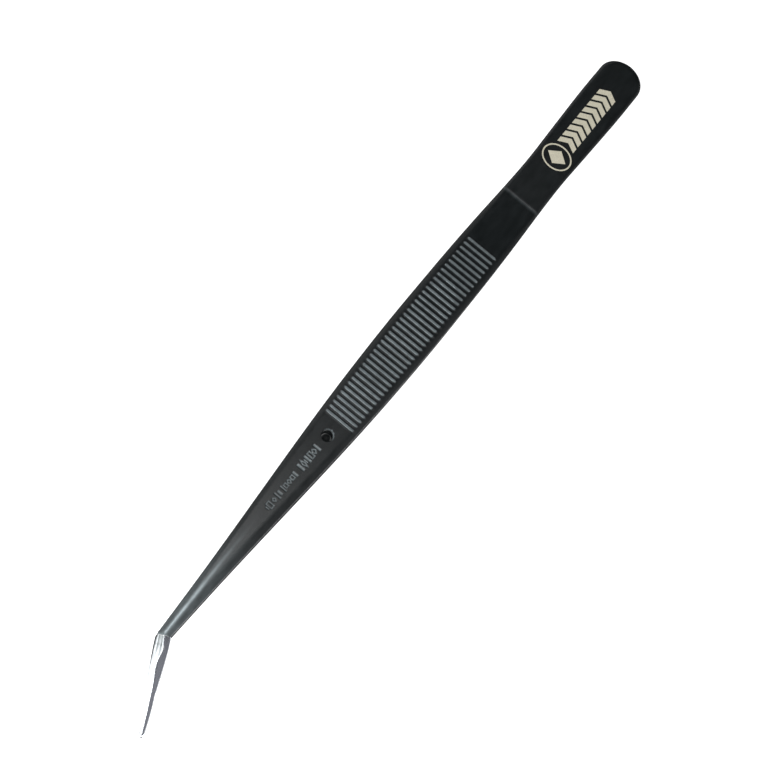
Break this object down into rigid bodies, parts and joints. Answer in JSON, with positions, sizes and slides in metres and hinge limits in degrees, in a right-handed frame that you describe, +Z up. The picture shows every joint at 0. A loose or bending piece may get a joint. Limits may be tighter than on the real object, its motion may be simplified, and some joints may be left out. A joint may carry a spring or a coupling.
{
  "type": "bent-tip tweezers",
  "caption": "Long precision tweezers with a black coating, cross-ridged grips, a guide pin and bare bent steel tips.",
  "frame": {"origin": "middle of the footprint, at the surface the tweezers lie on", "axes": "+X towards the tips, +Y towards the side the tips bend to, +Z up through the upper leaf"},
  "size_m": [0.1598, 0.0142, 0.0198],
  "materials": {
    "black_coating": "black satin coating on stainless steel, bare and polished on the bent tips",
    "weld_steel": "bare weld metal",
    "pin_steel": "black satin coating on steel"
  },
  "bodies": {
    "tail": {"upper_tail": "black_coating", "lower_tail": "black_coating", "rear_weld": "weld_steel", "front_weld": "weld_steel"},
    "upper_leaf_arm": {"upper_arm": "black_coating"},
    "lower_leaf_arm": {"lower_arm": "black_coating", "guide_pin": "pin_steel"}
  },
  "joints": [
    {"name": "upper_arm_flex", "type": "hinge", "parent": "tail", "child": "upper_leaf_arm", "pos_m": [-0.04642, -0.00214, 0.00438], "axis": [0, 1, 0], "range_deg": [0, 2.7], "stiffness_Nm_per_rad": 3},
    {"name": "lower_arm_flex", "type": "hinge", "parent": "tail", "child": "lower_leaf_arm", "pos_m": [-0.04632, -0.00214, 0.00308], "axis": [0, -1, 0], "range_deg": [0, 2.7], "stiffness_Nm_per_rad": 3}
  ],
  "couplings": [
    {"joint": "lower_arm_flex", "follows": "upper_arm_flex", "ratio": 1}
  ]
}
